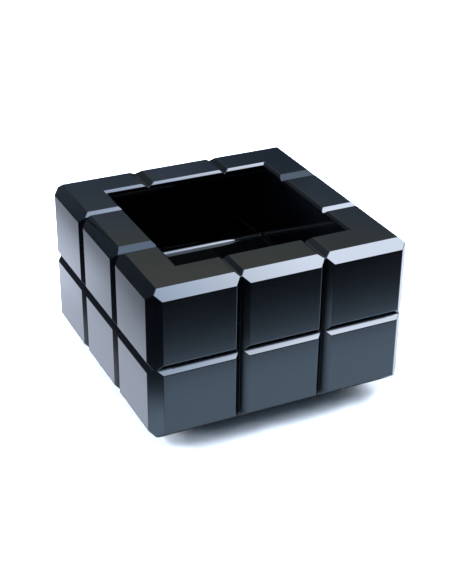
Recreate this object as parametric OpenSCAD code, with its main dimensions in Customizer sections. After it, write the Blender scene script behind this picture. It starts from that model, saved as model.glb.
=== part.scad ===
// Square open-topped dish of solid black glass, cut to look like a
// three by three by two stack of blocks, on four stick-on bumper feet.
// Origin: centre of the footprint, on the surface that the feet stand on.
// +Z up, front face towards -Y. Millimetres.

/* [Glass body] */
// Width and depth of the glass body
body_w = 100; // [92:1:130]
// Height of the glass body, without its feet
body_h = 58.8; // [54:0.2:70]
// How far the top and bottom edge facets reach in from the side faces
facet_in = 3.8; // [2.5:0.1:5]
// How far the top and bottom edge facets reach along the side faces
facet_drop = 3.5; // [2.5:0.1:5]
// Leg of the 45 degree facet on three of the upright corners
corner_facet = 4.3; // [3.5:0.1:6]
// Leg of the facet on the front right corner, which was ground less
corner_facet_front_right = 3.9; // [3.5:0.1:6]

/* [Cut grooves] */
// Distance between the two parallel grooves that divide each face
groove_pitch = 32.3; // [30:0.1:34]
// Width of the upright grooves and of the grooves on the underside
groove_w = 5.1; // [3:0.1:6]
// Depth of the grooves on the rim and on the underside
rim_groove_depth = 1.45; // [1:0.05:2]
// Width of each groove across the front and back of the rim: front left, front right, back left, back right
rim_w_front_back = [3.4, 4.8, 5.2, 3.6]; // [3:0.1:6]
// Width of each groove across the sides of the rim: left front, left back, right front, right back
rim_w_sides = [6, 3.4, 3.7, 5.8]; // [3:0.1:6]
// How far each of those side grooves sits behind its nominal line
rim_shift_sides = [0.4, 0.8, 0.8, 1]; // [-1:0.1:1]
// Width of the level groove that runs round the middle
belt_w = 4.1; // [3:0.1:5]
// How far the middle of the level groove lies below the top face
belt_level = 29.7; // [28:0.1:31]
// Depth of the level groove
belt_depth = 1.6; // [1:0.1:2]
// How far the bottom of the level groove lies below its middle
belt_drop = 0.5; // [0:0.1:0.8]
// Width of the narrow flat that the cutting wheel leaves in every groove
groove_flat = 0.4; // [0.2:0.1:1]

/* [Pocket] */
// Width of the square pocket between its walls, just under the rim facet
pocket_w = 66.3; // [58:0.1:70]
// Depth of the pocket below the top face
pocket_depth = 31.2; // [20:0.1:36]
// Small 45 degree facet round the mouth of the pocket
pocket_facet = 1; // [0.4:0.1:2]
// Draft of each pocket wall, in degrees
pocket_draft = 1; // [0.5:0.1:3]
// Radius where the pocket walls run into its floor
pocket_fillet = 2; // [0.6:0.1:3]

/* [Bumper feet] */
// Diameter of each bumper foot
foot_d = 10; // [8:0.5:12]
// Thickness of each bumper foot
foot_h = 1.8; // [1.2:0.1:3]
// Radius of the foot's lower edge
foot_round = 0.6; // [0.3:0.1:1]
// Diameter of the adhesive disc between foot and glass
adhesive_d = 9.4; // [7:0.2:11]
// Thickness of the adhesive disc
adhesive_t = 0.2; // [0.15:0.05:0.5]

/* [Hidden] */
$fn = 64;
eps = 1;                                   // how far cutters overshoot
lift = foot_h + adhesive_t;                // underside of the glass
half_w = body_w / 2;
groove_at = groove_pitch / 2;
belt_z = body_h - belt_level;
// a foot stands under the middle of each corner block
foot_at = (groove_at + groove_w / 2 + half_w - facet_in) / 2;

// The pocket's side profile: where the wall and the floor arc touch
mouth = pocket_w / 2;
floor_z = body_h - pocket_depth;
arc_z = floor_z + pocket_fillet;
arc_x = mouth - (body_h - pocket_facet - arc_z) * tan(pocket_draft)
        - pocket_fillet / cos(pocket_draft);
touch_x = arc_x + pocket_fillet * cos(pocket_draft);
touch_z = arc_z - pocket_fillet * sin(pocket_draft);

// Stand a profile drawn in X and Z up, and run it along Y
module along_y(len) {
    rotate([90, 0, 0]) linear_extrude(height = len, center = true) children();
}

// Side view of the body: a block with a facet along its top and bottom
module side_profile() {
    polygon([[-half_w, facet_drop], [-half_w + facet_in, 0],
             [half_w - facet_in, 0], [half_w, facet_drop],
             [half_w, body_h - facet_drop], [half_w - facet_in, body_h],
             [-half_w + facet_in, body_h], [-half_w, body_h - facet_drop]]);
}

// Plan of the body: a square with its corners cut off
module plan_profile() {
    a = half_w;
    b = half_w - corner_facet;
    c = half_w - corner_facet_front_right;
    polygon([[-b, -a], [c, -a], [a, -c], [a, b], [b, a], [-b, a], [-a, b], [-a, -b]]);
}

// The faceted block before anything is cut into it
module blank() {
    intersection() {
        linear_extrude(height = body_h) plan_profile();
        along_y(body_w + 2) side_profile();
        rotate([0, 0, 90]) along_y(body_w + 2) side_profile();
    }
}

// Cutter for one upright 45 degree groove along Y. It opens towards +Z, and
// the uncut surface is at z = 0.
module groove_cutter() {
    h = groove_w / 2;
    f = groove_flat / 2;
    along_y(body_w + 4)
        polygon([[-h - eps, eps], [-f, f - h], [f, f - h], [h + eps, eps]]);
}

// The two parallel upright grooves of one side face, at z = 0
module groove_pair() {
    for (s = [-1, 1]) translate([s * groove_at, 0, 0]) groove_cutter();
}

// Cutter for one side's level groove, with its upper edge towards +X. The
// wheel stood at a slant, so the upper wall is the wider one.
module belt_cutter() {
    h = belt_w / 2;
    f = groove_flat / 2;
    above = (h + belt_drop - f) / belt_depth;
    below = (h - belt_drop - f) / belt_depth;
    along_y(body_w + 4)
        polygon([[-h - below * eps, eps], [-belt_drop - f, -belt_depth],
                 [f - belt_drop, -belt_depth], [h + above * eps, eps]]);
}

// Cutter for one shallow groove along Y of the given width and length
module shallow_cutter(width, len) {
    f = groove_flat / 2;
    run = (width / 2 - f) / rim_groove_depth * (rim_groove_depth + eps);
    along_y(len)
        polygon([[-f - run, eps], [-f, -rim_groove_depth],
                 [f, -rim_groove_depth], [f + run, eps]]);
}

// The eight grooves across the rim. Each one was ground on its own, so no
// two are quite alike; they run out over the pocket.
module rim_grooves() {
    reach = half_w + 2 - mouth / 2;
    out = (half_w + 2 + mouth / 2) / 2;
    for (i = [0:3]) {
        side = i % 2 == 0 ? -1 : 1;        // left or front, then right or back
        far = i < 2 ? -1 : 1;
        translate([side * groove_at, far * out, body_h])
            shallow_cutter(rim_w_front_back[i], reach);
        translate([far * out, side * groove_at + rim_shift_sides[i], body_h])
            rotate([0, 0, 90]) shallow_cutter(rim_w_sides[i], reach);
    }
}

// The underside's grooves, both ways
module under_grooves() {
    for (a = [0, 90], s = [-1, 1])
        rotate([0, 0, a]) translate([s * groove_at, 0, 0]) rotate([0, 180, 0])
            shallow_cutter(groove_w, body_w + 4);
}

// Side view of the pocket, open at the top
module pocket_profile() {
    polygon([[-mouth - pocket_facet - eps, body_h + eps],
             [-mouth, body_h - pocket_facet],
             [-touch_x, touch_z], [-arc_x, floor_z],
             [arc_x, floor_z], [touch_x, touch_z],
             [mouth, body_h - pocket_facet],
             [mouth + pocket_facet + eps, body_h + eps]]);
    for (s = [-1, 1]) translate([s * arc_x, arc_z]) circle(r = pocket_fillet);
}

module pocket() {
    intersection() {
        along_y(body_w) pocket_profile();
        rotate([0, 0, 90]) along_y(body_w) pocket_profile();
    }
}

module dish_body() {
    color([0.06, 0.07, 0.09]) translate([0, 0, lift]) difference() {
        blank();
        pocket();
        rim_grooves();
        under_grooves();
        // four sides: upright pairs and the level groove
        for (a = [0, 90, 180, 270]) rotate([0, 0, a]) {
            translate([0, -half_w, body_h / 2]) rotate([90, 0, 0]) groove_pair();
            translate([0, -half_w, belt_z]) rotate([90, 0, 0]) rotate([0, 0, 90])
                belt_cutter();
        }
    }
}

// One bumper: a flat disc with a rounded lower edge, at the origin
module bumper() {
    r = foot_d / 2;
    rotate_extrude() {
        square([r - foot_round, foot_h]);
        translate([0, foot_round]) square([r, foot_h - foot_round]);
        translate([r - foot_round, foot_round]) intersection() {
            circle(r = foot_round);
            translate([0, -foot_round]) square(foot_round);
        }
    }
}

module adhesive_disc() {
    translate([0, 0, foot_h]) cylinder(d = adhesive_d, h = adhesive_t);
}

module at_foot(sx, sy) {
    translate([sx * foot_at, sy * foot_at, 0]) children();
}

module foot_front_left()  { color([0.16, 0.16, 0.17]) at_foot(-1, -1) bumper(); }
module foot_front_right() { color([0.16, 0.16, 0.17]) at_foot(1, -1) bumper(); }
module foot_back_left()   { color([0.16, 0.16, 0.17]) at_foot(-1, 1) bumper(); }
module foot_back_right()  { color([0.16, 0.16, 0.17]) at_foot(1, 1) bumper(); }

module foot_adhesive_front_left()  { color([0.8, 0.8, 0.76]) at_foot(-1, -1) adhesive_disc(); }
module foot_adhesive_front_right() { color([0.8, 0.8, 0.76]) at_foot(1, -1) adhesive_disc(); }
module foot_adhesive_back_left()   { color([0.8, 0.8, 0.76]) at_foot(-1, 1) adhesive_disc(); }
module foot_adhesive_back_right()  { color([0.8, 0.8, 0.76]) at_foot(1, 1) adhesive_disc(); }

dish_body();
foot_front_left();
foot_front_right();
foot_back_left();
foot_back_right();
foot_adhesive_front_left();
foot_adhesive_front_right();
foot_adhesive_back_left();
foot_adhesive_back_right();
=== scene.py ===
import math

import bmesh
import bpy
from mathutils import Matrix, Vector


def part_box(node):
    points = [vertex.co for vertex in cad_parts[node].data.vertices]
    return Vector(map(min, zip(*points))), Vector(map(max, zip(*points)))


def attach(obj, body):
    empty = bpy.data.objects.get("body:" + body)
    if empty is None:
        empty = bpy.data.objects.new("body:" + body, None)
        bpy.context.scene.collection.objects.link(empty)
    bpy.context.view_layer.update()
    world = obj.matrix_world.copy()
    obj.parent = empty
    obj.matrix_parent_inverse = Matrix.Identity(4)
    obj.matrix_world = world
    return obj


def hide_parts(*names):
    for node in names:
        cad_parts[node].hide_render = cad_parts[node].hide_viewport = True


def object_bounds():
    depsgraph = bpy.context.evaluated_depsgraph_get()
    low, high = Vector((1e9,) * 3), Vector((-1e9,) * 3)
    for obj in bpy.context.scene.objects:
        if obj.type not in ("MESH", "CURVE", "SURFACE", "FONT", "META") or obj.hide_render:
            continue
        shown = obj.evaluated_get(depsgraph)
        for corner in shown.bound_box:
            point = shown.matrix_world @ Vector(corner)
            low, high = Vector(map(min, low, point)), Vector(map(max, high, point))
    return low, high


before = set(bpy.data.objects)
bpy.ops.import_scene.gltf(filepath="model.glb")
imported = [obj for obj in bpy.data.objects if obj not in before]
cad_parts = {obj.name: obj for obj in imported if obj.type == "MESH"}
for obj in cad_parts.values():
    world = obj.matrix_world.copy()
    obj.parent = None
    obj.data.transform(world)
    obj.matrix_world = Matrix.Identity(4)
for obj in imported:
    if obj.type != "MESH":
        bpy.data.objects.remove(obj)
cad_lo, cad_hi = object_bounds()
scene = bpy.context.scene

# ------------------------------------------------------------------ camera
W = 0.100                                   # width of the body
TOP = cad_hi.z
AZ, EL, ROLL = math.radians(-25.757), math.radians(28.550), math.radians(0.554)
DIST, F_PX = 4.8044 * W, 1259.6
TARGET = Vector((0.0131 * W, 0.0, TOP - 0.349 * W))


def make_camera():
    back = Vector((math.sin(AZ) * math.cos(EL), -math.cos(AZ) * math.cos(EL), math.sin(EL)))
    fwd = -back
    right = fwd.cross(Vector((0, 0, 1))).normalized()
    up = right.cross(fwd).normalized()
    r = right * math.cos(ROLL) + up * math.sin(ROLL)
    u = -right * math.sin(ROLL) + up * math.cos(ROLL)
    data = bpy.data.cameras.new("studio_camera")
    data.sensor_width = 36.0
    data.sensor_fit = "AUTO"
    data.lens = F_PX * 36.0 / 584.0
    data.clip_start, data.clip_end = 0.01, 50.0
    cam = bpy.data.objects.new("studio_camera", data)
    scene.collection.objects.link(cam)
    m = Matrix((r, u, back)).transposed().to_4x4()
    m.translation = TARGET + back * DIST
    cam.matrix_world = m
    scene.camera = cam


make_camera()

# ------------------------------------------------------------------ node helpers


class Graph:
    """Short spellings for building a node tree."""

    def __init__(self, tree):
        self.t = tree

    def node(self, kind, **props):
        n = self.t.nodes.new(kind)
        for k, v in props.items():
            setattr(n, k, v)
        return n

    def put(self, socket, value):
        if isinstance(value, bpy.types.NodeSocket):
            self.t.links.new(value, socket)
        elif value is not None:
            socket.default_value = value

    def math(self, op, a, b=None, c=None, clamp=False):
        n = self.node("ShaderNodeMath", operation=op, use_clamp=clamp)
        for i, v in enumerate((a, b, c)):
            self.put(n.inputs[i], v)
        return n.outputs[0]

    def vmath(self, op, a, b=None):
        n = self.node("ShaderNodeVectorMath", operation=op)
        self.put(n.inputs[0], a)
        self.put(n.inputs[1], b)
        return n.outputs["Value"] if op in ("LENGTH", "DOT_PRODUCT", "DISTANCE") else n.outputs["Vector"]

    def xyz(self, v):
        n = self.node("ShaderNodeSeparateXYZ")
        self.put(n.inputs[0], v)
        return n.outputs

    def step(self, v, lo, hi, a=0.0, b=1.0, smooth=True):
        """From a at lo to b at hi, held outside."""
        n = self.node("ShaderNodeMapRange", interpolation_type="SMOOTHSTEP" if smooth else "LINEAR", clamp=True)
        self.put(n.inputs["Value"], v)
        for name, x in (("From Min", lo), ("From Max", hi), ("To Min", a), ("To Max", b)):
            self.put(n.inputs[name], x)
        return n.outputs["Result"]

    def curve(self, v, points, mode="LINEAR"):
        """A curve through (position, value or colour) points, as a colour ramp."""
        n = self.node("ShaderNodeValToRGB")
        n.color_ramp.interpolation = mode
        lo, hi = points[0][0], points[-1][0]
        els = n.color_ramp.elements
        while len(els) < len(points):
            els.new(0.5)
        for e, (x, c) in zip(els, points):
            e.position = (x - lo) / (hi - lo)
        for e, (x, c) in zip(els, points):
            c = (c, c, c) if isinstance(c, (int, float)) else c
            e.color = (*c, 1.0)
        self.put(n.inputs["Fac"], self.step(v, lo, hi, smooth=False))
        return n.outputs["Color"]

    def mix(self, fac, a, b, kind="RGBA", blend="MIX"):
        n = self.node("ShaderNodeMix", data_type=kind)
        if kind == "RGBA":
            n.blend_type = blend
            self.put(n.inputs[0], fac)
            self.put(n.inputs[6], a)
            self.put(n.inputs[7], b)
            return n.outputs[2]
        self.put(n.inputs[0], fac)
        self.put(n.inputs[2], a)
        self.put(n.inputs[3], b)
        return n.outputs[0]

    def scale(self, colour, k):
        n = self.node("ShaderNodeVectorMath", operation="SCALE")
        self.put(n.inputs[0], colour)
        self.put(n.inputs["Scale"], k)
        return n.outputs["Vector"]

    def noise(self, vector, scale, detail=2.0, rough=0.5):
        n = self.node("ShaderNodeTexNoise")
        self.put(n.inputs["Vector"], vector)
        n.inputs["Scale"].default_value = scale
        n.inputs["Detail"].default_value = detail
        n.inputs["Roughness"].default_value = rough
        return n.outputs["Fac"]


def rgba(r, g, b):
    return (r, g, b, 1.0)


# ------------------------------------------------------------------ meshes


def add_object(name, mesh):
    obj = bpy.data.objects.new(name, mesh)
    scene.collection.objects.link(obj)
    return obj


def clean_copy(node):
    """The node's faces as whole flat polygons, in a new bmesh."""
    bm = bmesh.new()
    bm.from_mesh(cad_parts[node].data)
    bmesh.ops.remove_doubles(bm, verts=bm.verts, dist=2e-6)
    bmesh.ops.dissolve_limit(bm, angle_limit=math.radians(0.4), verts=bm.verts, edges=bm.edges)
    bmesh.ops.recalc_face_normals(bm, faces=bm.faces)
    return bm


def turn(edge):
    """Signed angle over an edge in degrees: positive where the solid is convex."""
    if len(edge.link_faces) != 2:
        return 0.0
    return math.degrees(edge.calc_face_angle_signed(0.0))


def build_body():
    """The glass body: the CAD solid with its sharp cut edges broken by the polishing wheel."""
    bm = clean_copy("dish_body")
    convex = [e for e in bm.edges if turn(e) > 20.0]
    bmesh.ops.bevel(bm, geom=convex, offset=0.00020, offset_type="OFFSET", segments=3, profile=0.5,
                    affect="EDGES", clamp_overlap=False, miter_outer="SHARP", miter_inner="SHARP")
    bmesh.ops.recalc_face_normals(bm, faces=bm.faces)
    for e in bm.edges:                          # cut lines at the bottom of grooves stay crisp
        e.smooth = turn(e) > -16.0
    mesh = bpy.data.meshes.new("glass_body")
    bm.to_mesh(mesh)
    bm.free()
    for p in mesh.polygons:
        p.use_smooth = True
    obj = add_object("glass_body", mesh)
    wn = obj.modifiers.new("face_weighted_normals", "WEIGHTED_NORMAL")
    wn.mode = "FACE_AREA"
    wn.weight = 100
    wn.keep_sharp = True
    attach(obj, "root")
    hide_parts("dish_body")
    return obj


def lathe(name, profile, segments=72):
    """A closed turned solid from (radius, height) points that start and end on the axis."""
    bm = bmesh.new()
    rings = []
    for r, z in profile:
        if r < 1e-9:
            rings.append([bm.verts.new((0, 0, z))])
        else:
            rings.append([bm.verts.new((r * math.cos(2 * math.pi * i / segments), r * math.sin(2 * math.pi * i / segments), z))
                          for i in range(segments)])
    for a, b in zip(rings, rings[1:]):
        for i in range(segments):
            j = (i + 1) % segments
            if len(a) == 1:
                bm.faces.new((a[0], b[i], b[j]))
            elif len(b) == 1:
                bm.faces.new((a[i], a[j], b[0]))
            else:
                bm.faces.new((a[i], a[j], b[j], b[i]))
    bmesh.ops.recalc_face_normals(bm, faces=bm.faces)
    mesh = bpy.data.meshes.new(name)
    bm.to_mesh(mesh)
    bm.free()
    for p in mesh.polygons:
        p.use_smooth = True
    return mesh


def arc(cr, cz, rad, a0, a1, n):
    """Points on a fillet in the (radius, height) plane, angles in degrees."""
    out = []
    for i in range(n + 1):
        a = math.radians(a0 + (a1 - a0) * i / n)
        out.append((cr + rad * math.cos(a), cz + rad * math.sin(a)))
    return out


def build_foot(node):
    """A moulded bumper: gate dimple below, round lower edge, fine parting line, small top edge."""
    lo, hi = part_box(node)
    r = (hi.x - lo.x) / 2
    z0, z1 = lo.z, hi.z
    k = 0.0006                                  # lower edge radius
    prof = [(0.0, z0 + 0.00012), (0.00028, z0 + 0.00011)]
    prof += [(0.00052, z0 + 0.00006), (0.00078, z0 + 0.00001), (0.0010, z0)]
    prof += [(r - k - 0.0012, z0)]
    prof += arc(r - k, z0 + k, k, -90, -4, 12)
    line = z0 + k + 0.00012
    prof += [(r - 0.00001, line - 0.00003), (r, line), (r - 0.00001, line + 0.00003)]
    prof += arc(r - 0.00009 - 0.00014, z1 - 0.00014, 0.00014, 6, 90, 5)
    prof += [(r * 0.55, z1), (0.0, z1)]
    obj = add_object(node + "_moulded", lathe(node + "_moulded", prof))
    obj.data.transform(Matrix.Translation(((lo.x + hi.x) / 2, (lo.y + hi.y) / 2, 0)))
    wn = obj.modifiers.new("face_weighted_normals", "WEIGHTED_NORMAL")
    wn.mode = "FACE_AREA"
    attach(obj, "root")
    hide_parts(node)
    return obj


def build_adhesive(node):
    """A die-cut adhesive disc with a softly pressed rim."""
    lo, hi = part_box(node)
    r = (hi.x - lo.x) / 2
    z0, z1 = lo.z, hi.z
    k = (z1 - z0) / 2
    prof = [(0.0, z0), (r * 0.6, z0), (r - 2.2 * k, z0)]
    prof += [(r - k, z0)] + arc(r - k, z0 + k, k, -90, 90, 8)[1:-1] + [(r - k, z1)]
    prof += [(r - 2.2 * k, z1), (r * 0.6, z1), (0.0, z1)]
    obj = add_object(node + "_film", lathe(node + "_film", prof))
    obj.data.transform(Matrix.Translation(((lo.x + hi.x) / 2, (lo.y + hi.y) / 2, 0)))
    wn = obj.modifiers.new("face_weighted_normals", "WEIGHTED_NORMAL")
    wn.mode = "FACE_AREA"
    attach(obj, "root")
    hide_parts(node)
    return obj


body = build_body()
feet = [build_foot(n) for n in sorted(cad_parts) if n.startswith("foot_") and not n.startswith("foot_adhesive")]
films = [build_adhesive(n) for n in sorted(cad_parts) if n.startswith("foot_adhesive")]

# ------------------------------------------------------------------ materials


def new_material(name):
    mat = bpy.data.materials.new(name)
    mat.use_nodes = True
    return mat, Graph(mat.node_tree), mat.node_tree.nodes["Principled BSDF"]


def glass_material():
    """Opaque black optical glass: wheel-polished facets, finer on the panels than on the bevels."""
    mat, g, b = new_material("black_glass")
    tc = g.node("ShaderNodeTexCoord")
    pos = tc.outputs["Object"]
    geo = g.node("ShaderNodeNewGeometry")
    n = g.xyz(geo.outputs["True Normal"])
    flat = g.math("MAXIMUM", g.math("MAXIMUM", g.math("ABSOLUTE", n[0]), g.math("ABSOLUTE", n[1])), g.math("ABSOLUTE", n[2]))
    facet = g.step(flat, 0.985, 0.90)           # 1 on cut bevels, 0 on panels
    # colour: very deep, with slow drifts in the melt
    melt = g.noise(pos, 38.0, 3.0, 0.55)
    depth = g.mix(g.step(melt, 0.32, 0.68), rgba(0.0005, 0.0006, 0.0009), rgba(0.0011, 0.0013, 0.0018))
    # settled dust, only on surfaces that face up
    dust_cells = g.node("ShaderNodeTexVoronoi", feature="F1")
    g.put(dust_cells.inputs["Vector"], pos)
    dust_cells.inputs["Scale"].default_value = 900.0
    pick = g.xyz(dust_cells.outputs["Color"])[0]
    fleck = g.math("MULTIPLY", g.step(dust_cells.outputs["Distance"], 0.12, 0.05), g.math("GREATER_THAN", pick, 0.985))
    up = g.step(n[2], 0.35, 0.95)
    dust = g.math("MULTIPLY", fleck, up)
    g.put(b.inputs["Base Color"], g.mix(g.math("MULTIPLY", dust, 0.35), depth, rgba(0.10, 0.10, 0.105)))
    # roughness: clean polish, wiping smears, coarser wheel finish on the bevels
    smear_map = g.node("ShaderNodeMapping")
    g.put(smear_map.inputs["Vector"], pos)
    smear_map.inputs["Rotation"].default_value = (0.5, 0.35, 0.7)
    smear_map.inputs["Scale"].default_value = (1.0, 0.22, 0.6)
    smear = g.noise(smear_map.outputs["Vector"], 120.0, 4.0, 0.6)
    fine = g.noise(pos, 2600.0, 2.0, 0.6)
    r0 = g.mix(facet, 0.022, 0.050, kind="FLOAT")
    r1 = g.math("MULTIPLY_ADD", g.step(smear, 0.45, 0.75), 0.018, r0)
    r2 = g.math("MULTIPLY_ADD", g.math("SUBTRACT", fine, 0.5), 0.02, r1)
    b.inputs["IOR"].default_value = 1.52
    # grinding residue makes the side grooves rougher the deeper in; their mirror is also weakened the deeper in as
    # painted shade, a little less right at the bottom
    p = g.xyz(pos)
    ax, ay, z = (g.math("DIVIDE", g.math("ABSOLUTE", p[0]), W), g.math("DIVIDE", g.math("ABSOLUTE", p[1]), W), g.math("DIVIDE", p[2], W))
    slope = g.math("ADD", g.math("MAXIMUM", g.math("SUBTRACT", z, 0.573), 0.0), g.math("MAXIMUM", g.math("SUBTRACT", 0.055, z), 0.0))
    skin = g.math("MULTIPLY_ADD", slope, -3.8 / 3.5, 0.5)
    inset = g.math("SUBTRACT", skin, g.math("MAXIMUM", ax, ay))
    side = g.math("MULTIPLY", g.math("LESS_THAN", g.math("MINIMUM", ax, ay), 0.42), g.math("LESS_THAN", inset, 0.05))
    nz = g.math("ABSOLUTE", n[2])
    upright = g.math("MULTIPLY", side, g.math("LESS_THAN", nz, 0.3))
    level = g.math("MULTIPLY", g.math("MULTIPLY", side, g.math("GREATER_THAN", nz, 0.3)),
                   g.math("LESS_THAN", g.math("ABSOLUTE", g.math("SUBTRACT", z, 0.306)), 0.035))
    # painted shade: mirror strength along the upright and level side grooves, full at the lip and falling towards the
    # bottom
    upright_groove_painted_shade = g.xyz(g.curve(g.math("DIVIDE", inset, 0.0255), [(0.0, 1.0), (0.08, 1.0), (0.22, 0.90), (0.35, 0.76), (0.47, 0.58),
                                                              (0.59, 0.40), (0.71, 0.25), (0.82, 0.15), (0.94, 0.10), (0.98, 0.38), (1.0, 0.40)]))[0]
    level_groove_painted_shade = g.xyz(g.curve(g.math("DIVIDE", inset, 0.016), [(0.0, 1.0), (0.5, 1.0), (0.8, 0.88), (0.95, 0.55), (1.0, 0.3)]))[0]
    groove_mirror_painted_shade = g.mix(upright, 1.0, upright_groove_painted_shade, kind="FLOAT")
    groove_mirror_painted_shade = g.mix(level, groove_mirror_painted_shade, level_groove_painted_shade, kind="FLOAT")
    residue = g.math("SUBTRACT", 1.0, groove_mirror_painted_shade)
    # painted shade: the groove mask lowers the mirror strength deep in the side grooves
    g.put(b.inputs["Specular IOR Level"], g.math("MULTIPLY", groove_mirror_painted_shade, 0.5))
    r3 = g.math("MULTIPLY_ADD", residue, 0.22, r2)
    g.put(b.inputs["Roughness"], g.math("MULTIPLY_ADD", dust, 0.3, r3, clamp=True))
    # relief: slow lap waves and hairline scratches
    lap = g.noise(pos, 55.0, 1.0, 0.4)
    line_map = g.node("ShaderNodeMapping")
    g.put(line_map.inputs["Vector"], pos)
    line_map.inputs["Rotation"].default_value = (0.9, 0.6, 0.4)
    line_map.inputs["Scale"].default_value = (1.0, 0.02, 1.0)
    hair = g.noise(line_map.outputs["Vector"], 1900.0, 1.0, 0.5)
    hair = g.step(hair, 0.70, 0.76)
    grain = g.noise(pos, 1500.0, 2.0, 0.6)
    relief = g.math("MULTIPLY_ADD", lap, 1.0, g.math("MULTIPLY", hair, -0.02))
    relief = g.math("MULTIPLY_ADD", g.math("MULTIPLY", grain, facet), 0.012, relief)
    bump = g.node("ShaderNodeBump")
    bump.inputs["Strength"].default_value = 1.0
    bump.inputs["Distance"].default_value = 0.00002
    g.put(bump.inputs["Height"], relief)
    g.put(b.inputs["Normal"], bump.outputs["Normal"])
    return mat


def silicone_material():
    """Smoke grey moulded bumper rubber."""
    mat, g, b = new_material("bumper_silicone")
    pos = g.node("ShaderNodeTexCoord").outputs["Object"]
    cloud = g.noise(pos, 260.0, 3.0, 0.6)
    tone = g.mix(g.step(cloud, 0.3, 0.7), rgba(0.135, 0.137, 0.145), rgba(0.190, 0.190, 0.198))
    lint = g.node("ShaderNodeTexVoronoi", feature="F1")
    g.put(lint.inputs["Vector"], pos)
    lint.inputs["Scale"].default_value = 1700.0
    speck = g.math("MULTIPLY", g.step(lint.outputs["Distance"], 0.16, 0.06),
                   g.math("GREATER_THAN", g.xyz(lint.outputs["Color"])[1], 0.93))
    g.put(b.inputs["Base Color"], g.mix(g.math("MULTIPLY", speck, 0.5), tone, rgba(0.5, 0.49, 0.47)))
    skin = g.noise(pos, 3200.0, 2.0, 0.65)
    g.put(b.inputs["Roughness"], g.math("MULTIPLY_ADD", skin, 0.22, 0.36))
    b.inputs["IOR"].default_value = 1.43
    bump = g.node("ShaderNodeBump")
    bump.inputs["Strength"].default_value = 0.6
    bump.inputs["Distance"].default_value = 0.00003
    g.put(bump.inputs["Height"], skin)
    g.put(b.inputs["Normal"], bump.outputs["Normal"])
    return mat


def adhesive_material():
    """Pale acrylic adhesive film with trapped air and fibres."""
    mat, g, b = new_material("adhesive_film")
    pos = g.node("ShaderNodeTexCoord").outputs["Object"]
    cloud = g.noise(pos, 420.0, 3.0, 0.6)
    tone = g.mix(g.step(cloud, 0.3, 0.7), rgba(0.74, 0.73, 0.68), rgba(0.83, 0.83, 0.79))
    air = g.node("ShaderNodeTexVoronoi", feature="F1")
    g.put(air.inputs["Vector"], pos)
    air.inputs["Scale"].default_value = 1400.0
    bubble = g.math("MULTIPLY", g.step(air.outputs["Distance"], 0.30, 0.12),
                    g.math("GREATER_THAN", g.xyz(air.outputs["Color"])[0], 0.78))
    g.put(b.inputs["Base Color"], g.mix(g.math("MULTIPLY", bubble, 0.45), tone, rgba(0.93, 0.93, 0.91)))
    g.put(b.inputs["Roughness"], g.math("MULTIPLY_ADD", cloud, 0.25, 0.25))
    b.inputs["IOR"].default_value = 1.47
    bump = g.node("ShaderNodeBump")
    bump.inputs["Strength"].default_value = 0.5
    bump.inputs["Distance"].default_value = 0.00002
    g.put(bump.inputs["Height"], g.math("ADD", g.noise(pos, 2400.0, 2.0, 0.6), bubble))
    g.put(b.inputs["Normal"], bump.outputs["Normal"])
    return mat


body.data.materials.append(glass_material())
silicone, film = silicone_material(), adhesive_material()
for o in feet:
    o.data.materials.append(silicone)
for o in films:
    o.data.materials.append(film)

# ------------------------------------------------------------------ stage


def plane(name, size, z):
    mesh = bpy.data.meshes.new(name)
    h = size / 2
    mesh.from_pydata([(-h, -h, z), (h, -h, z), (h, h, z), (-h, h, z)], [], [(0, 1, 2, 3)])
    obj = add_object(name, mesh)
    return obj


def make_floor():
    """The white table: takes the soft shadow; the glass mirrors the card below instead of it."""
    obj = plane("floor", 12.0, 0.0)
    mat, g, b = new_material("white_paper")
    pos = g.node("ShaderNodeTexCoord").outputs["Object"]
    fibre = g.noise(pos, 900.0, 4.0, 0.7)
    g.put(b.inputs["Base Color"], g.mix(fibre, rgba(0.88, 0.88, 0.89), rgba(0.93, 0.93, 0.93)))
    b.inputs["Roughness"].default_value = 0.95
    b.inputs["Specular IOR Level"].default_value = 0.0
    obj.data.materials.append(mat)
    obj.visible_glossy = False


def emission_material(name, build):
    mat = bpy.data.materials.new(name)
    mat.use_nodes = True
    mat.node_tree.nodes.clear()
    g = Graph(mat.node_tree)
    out = g.node("ShaderNodeOutputMaterial")
    em = g.node("ShaderNodeEmission")
    colour, strength = build(g)
    g.put(em.inputs["Color"], colour)
    g.put(em.inputs["Strength"], strength)
    g.put(out.inputs["Surface"], em.outputs[0])
    return mat


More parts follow.
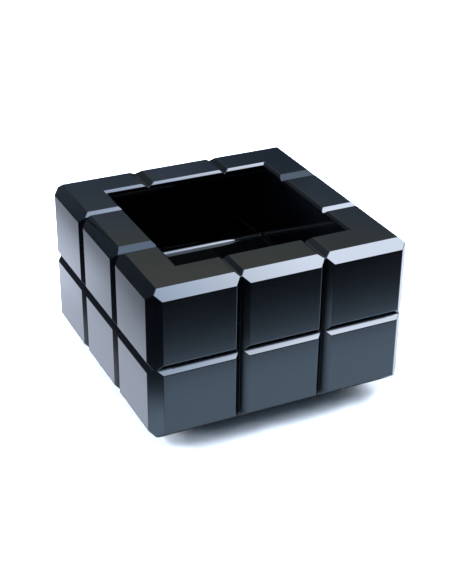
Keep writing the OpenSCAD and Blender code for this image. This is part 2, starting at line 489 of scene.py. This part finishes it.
def make_table_reflection():
    """What the glass mirrors from the table: a lit patch around the object that falls off to dark."""
    obj = plane("table_reflection", 12.0, -0.0004)

    def build(g):
        p = g.xyz(g.node("ShaderNodeTexCoord").outputs["Object"])
        x, y = (g.math("DIVIDE", v, W) for v in (p[0], p[1]))
        left = g.math("DIVIDE", g.math("MAXIMUM", g.math("SUBTRACT", -0.25, x), 0.0), 0.52)
        right = g.math("DIVIDE", g.math("MAXIMUM", g.math("SUBTRACT", x, 1.30), 0.0), 0.55)
        front = g.math("DIVIDE", g.math("MAXIMUM", g.math("SUBTRACT", -0.45, y), 0.0), 0.55)
        rear = g.math("DIVIDE", g.math("MAXIMUM", g.math("SUBTRACT", y, 1.90), 0.0), 0.60)
        u, v = g.math("ADD", left, right), g.math("ADD", front, rear)
        d = g.math("POWER", g.math("ADD", g.math("POWER", u, 1.3), g.math("POWER", v, 1.3)), 1 / 1.3)
        fall = g.curve(d, [(0.0, 1.0), (0.55, 1.0), (0.73, 0.92), (0.87, 0.70), (1.0, 0.58), (1.145, 0.36), (1.29, 0.24),
                           (1.42, 0.165), (1.56, 0.113), (1.71, 0.083), (1.85, 0.055), (2.1, 0.025), (2.6, 0.012), (4.0, 0.008)])
        fall = g.xyz(fall)[0]
        # painted contact shadow: soft dark right under and around the body
        edge = g.math("MAXIMUM", g.math("ABSOLUTE", x), g.math("ABSOLUTE", y))
        contact = g.xyz(g.curve(edge, [(0.43, 0.015), (0.450, 0.03), (0.460, 0.14), (0.470, 0.20), (0.50, 0.45), (0.54, 1.0), (0.60, 1.0)]))[0]
        flank = g.xyz(g.curve(x, [(-0.92, 0.96), (-0.86, 0.97), (-0.82, 1.05), (-0.75, 1.10), (-0.70, 1.11), (-0.65, 1.01), (-0.60, 0.94),
                                  (-0.54, 0.88), (-0.45, 0.88), (-0.40, 1.0)]))[0]
        flank = g.mix(g.step(y, -0.46, -0.40), 1.0, g.math("MULTIPLY", flank, g.step(g.math("SUBTRACT", y, x), 1.15, 1.75, 1.0, 1.16)), kind="FLOAT")
        rise = g.math("ADD", g.step(y, 0.4, 1.0, 1.0, 1.25),
                      g.math("MULTIPLY", g.step(y, -0.54, -0.46), g.math("SUBTRACT", g.xyz(g.curve(x, [
                          (0.40, 0.25), (0.45, 0.03), (0.56, 0.03), (0.71, 0.16), (1.0, 0.31), (1.2, 0.33), (1.6, 0.25)]))[0], 0.25)))
        rise = g.math("MULTIPLY", rise, flank)
        near = g.math("SQRT", g.math("ADD", g.math("POWER", g.math("ADD", x, 0.64), 2.0), g.math("POWER", g.math("ADD", y, 0.57), 2.0)))
        fall = g.math("ADD", fall, g.step(near, 0.19, 0.0, 0.0, 0.42))
        corner = g.math("MULTIPLY", g.step(x, -0.50, -0.60), g.math("MULTIPLY", g.step(y, -0.45, -0.50), g.step(y, -0.87, -0.81)))
        dim = g.xyz(g.curve(near, [(0.0, 1.05), (0.07, 1.0), (0.143, 1.17), (0.228, 0.82), (0.31, 0.64), (0.395, 0.50), (0.484, 0.48),
                                   (0.578, 0.68), (0.68, 0.72), (0.78, 0.9)]))[0]
        fall = g.math("MULTIPLY", fall, g.mix(corner, 1.0, dim, kind="FLOAT"))
        k = g.math("MULTIPLY", g.math("MULTIPLY", fall, contact), g.math("MULTIPLY", rise, 1.85))
        cool = g.math("MULTIPLY", g.step(y, -0.43, -0.52), g.step(x, 1.2, 0.8))
        tint = g.mix(cool, rgba(0.868, 0.964, 1.169), rgba(0.70, 0.98, 1.325))
        depth = g.node("ShaderNodeLightPath").outputs["Diffuse Depth"]
        return tint, g.math("MULTIPLY", k, g.math("LESS_THAN", depth, 0.5))

    obj.data.materials.append(emission_material("table_reflection", build))
    obj.visible_camera = False
    obj.visible_diffuse = False
    obj.visible_shadow = False
    obj.visible_transmission = False
    obj.visible_volume_scatter = False


def make_world():
    """The studio as the glass mirrors it. The camera sees a white backdrop, and matt surfaces see a dim fill."""
    world = bpy.data.worlds.new("studio")
    world.use_nodes = True
    world.node_tree.nodes.clear()
    g = Graph(world.node_tree)
    d = g.xyz(g.node("ShaderNodeTexCoord").outputs["Generated"])
    el = g.math("DEGREES", g.math("ARCSINE", d[2]))
    az = g.math("DEGREES", g.math("ARCTAN2", d[0], d[1]))
    base = g.curve(el, [(0.0, (0.07, 0.09, 0.13)), (15.0, (0.08, 0.11, 0.16)), (20.0, (0.10, 0.145, 0.22)),
                        (23.0, (0.15, 0.21, 0.30)), (25.0, (0.23, 0.30, 0.38)), (27.0, (0.36, 0.42, 0.48)),
                        (29.0, (0.48, 0.52, 0.56)), (34.0, (0.62, 0.65, 0.68)), (46.0, (0.80, 0.82, 0.86)), (90.0, (0.95, 0.97, 1.0))])
    dark = g.curve(el, [(0.0, (0.08, 0.11, 0.15)), (28.0, (0.15, 0.20, 0.26)), (40.0, (0.30, 0.34, 0.40)),
                        (60.0, (0.6, 0.63, 0.68)), (90.0, (0.95, 0.97, 1.0))])
    wing = g.math("MULTIPLY", g.step(az, -100.0, -70.0), g.step(az, 12.0, -8.0))
    left = g.xyz(g.curve(az, [(-28.4, 0.54), (-27.0, 0.60), (-26.4, 0.74), (-25.9, 0.92), (-24.8, 1.02), (-24.0, 1.42), (-23.0, 1.45)]))[0]
    dark = g.mix(g.step(el, 24.0, 22.5), dark, g.scale(dark, left))
    sky = g.mix(wing, base, dark)
    # the ceiling mirrored by the rim: dimmer low down towards the right, warmer higher up
    far = g.math("MULTIPLY", g.math("MULTIPLY", g.step(az, 23.0, 28.5), g.step(az, 30.4, 29.0)), g.step(el, 25.5, 22.5))
    sky = g.mix(far, sky, g.vmath("MULTIPLY", sky, (0.62, 0.66, 0.70)))
    sky = g.mix(g.math("MULTIPLY", g.math("MULTIPLY", g.step(az, 20.8, 22.4), g.step(az, 25.0, 23.4)), g.step(el, 24.2, 23.2)), sky, g.scale(sky, 1.28))
    warm = g.math("MULTIPLY", g.step(el, 24.5, 26.8), g.step(el, 36.0, 30.0))
    sky = g.mix(warm, sky, g.vmath("MULTIPLY", sky, (0.96, 0.92, 0.74)))
    sky = g.mix(g.math("MULTIPLY", g.step(az, 28.5, 32.0), g.step(el, 36.0, 30.0)), sky, g.scale(sky, 0.84))
    # key softbox, front right and high, brighter to its right
    s = g.math("MULTIPLY_ADD", g.math("SUBTRACT", el, 50.0), 0.86, az)
    key = g.xyz(g.curve(s, [(96.0, 0.0), (106.0, 0.9), (128.0, 0.94), (131.7, 0.945), (134.0, 0.945), (135.4, 0.91), (138.8, 0.79),
                            (141.9, 0.66), (144.1, 0.587), (145.9, 0.516), (148.0, 0.445), (154.0, 0.30), (162.0, 0.0)]))[0]
    key = g.math("MULTIPLY", key, g.math("MULTIPLY", g.xyz(g.curve(el, [(36.0, 0.0), (42.0, 0.55), (46.0, 0.88), (49.5, 1.0), (52.0, 1.0)]))[0],
                                   g.step(el, 70.0, 64.5)))
    sky = g.vmath("ADD", sky, g.scale(g.mix(g.step(s, 140.0, 147.0), rgba(13.8, 15.5, 18.3), rgba(12.8, 15.5, 20.2)), key))
    # overhead scrim
    scrim = g.xyz(g.curve(el, [(50.0, 0.0), (58.0, 0.9), (64.0, 1.9), (70.0, 2.4), (78.0, 3.2), (90.0, 3.6)]))[0]
    sky = g.vmath("ADD", sky, g.scale((0.52, 0.82, 1.33), scrim))
    # rim softbox, back left and high
    rim = g.math("MULTIPLY", g.math("MULTIPLY", g.step(az, -78.0, -68.0), g.step(az, -34.0, -44.0)),
                 g.math("MULTIPLY", g.step(el, 44.0, 49.0), g.step(el, 66.0, 61.0)))
    sky = g.vmath("ADD", sky, g.scale((6.0, 6.6, 7.4), rim))

    out = g.node("ShaderNodeOutputWorld")
    seen, fill, mirrored = (g.node("ShaderNodeBackground") for _ in range(3))
    seen.inputs["Color"].default_value = rgba(1.0, 1.0, 1.0)
    seen.inputs["Strength"].default_value = 1.05
    fill.inputs["Color"].default_value = rgba(0.72, 1.0, 1.34)
    fill.inputs["Strength"].default_value = 0.18
    g.put(mirrored.inputs["Color"], sky)
    mirrored.inputs["Strength"].default_value = 1.0
    path = g.node("ShaderNodeLightPath")
    a, b = g.node("ShaderNodeMixShader"), g.node("ShaderNodeMixShader")
    g.put(a.inputs[0], g.math("GREATER_THAN", path.outputs["Diffuse Depth"], 0.5))
    g.put(a.inputs[1], mirrored.outputs[0])
    g.put(a.inputs[2], fill.outputs[0])
    g.put(b.inputs[0], path.outputs["Is Camera Ray"])
    g.put(b.inputs[1], a.outputs[0])
    g.put(b.inputs[2], seen.outputs[0])
    g.put(out.inputs["Surface"], b.outputs[0])
    world.cycles.sampling_method = "NONE"       # rays find it by themselves, so each kind sees its own branch
    scene.world = world


def make_sun(name, azimuth, elevation, spread, power):
    """One panel of the light tent, far away: it lights the matt table and is never mirrored."""
    data = bpy.data.lights.new(name, "SUN")
    data.energy = power
    data.angle = math.radians(spread)
    data.color = (0.90, 1.0, 1.14)
    obj = bpy.data.objects.new(name, data)
    scene.collection.objects.link(obj)
    a, e = math.radians(azimuth), math.radians(elevation)
    d = Vector((math.sin(a) * math.cos(e), math.cos(a) * math.cos(e), math.sin(e)))
    obj.rotation_euler = d.to_track_quat("Z", "Y").to_euler()
    obj.location = d * 1.5
    obj.visible_glossy = False
    obj.visible_camera = False


make_floor()
make_table_reflection()
make_world()
# azimuth from +Y towards +X, elevation, spread, power: one panel overhead, two at the sides, the others low behind the object
for i, panel in enumerate(((-55, 78, 10, 4.3), (84, 40, 10, 1.45), (-84, 40, 10, 0.95), (60, 12, 12, 8.2), (60, 7, 10, 3.8),
                           (45, 7, 10, 7.7), (90, 12, 12, 1.1), (-45, 7, 10, 4.3), (-30, 7, 10, 7.0), (-30, 18, 12, 3.6),
                           (-90, 12, 12, 1.5))):
    make_sun("tent_panel_%d" % i, *panel)
scene.view_settings.view_transform = "Standard"
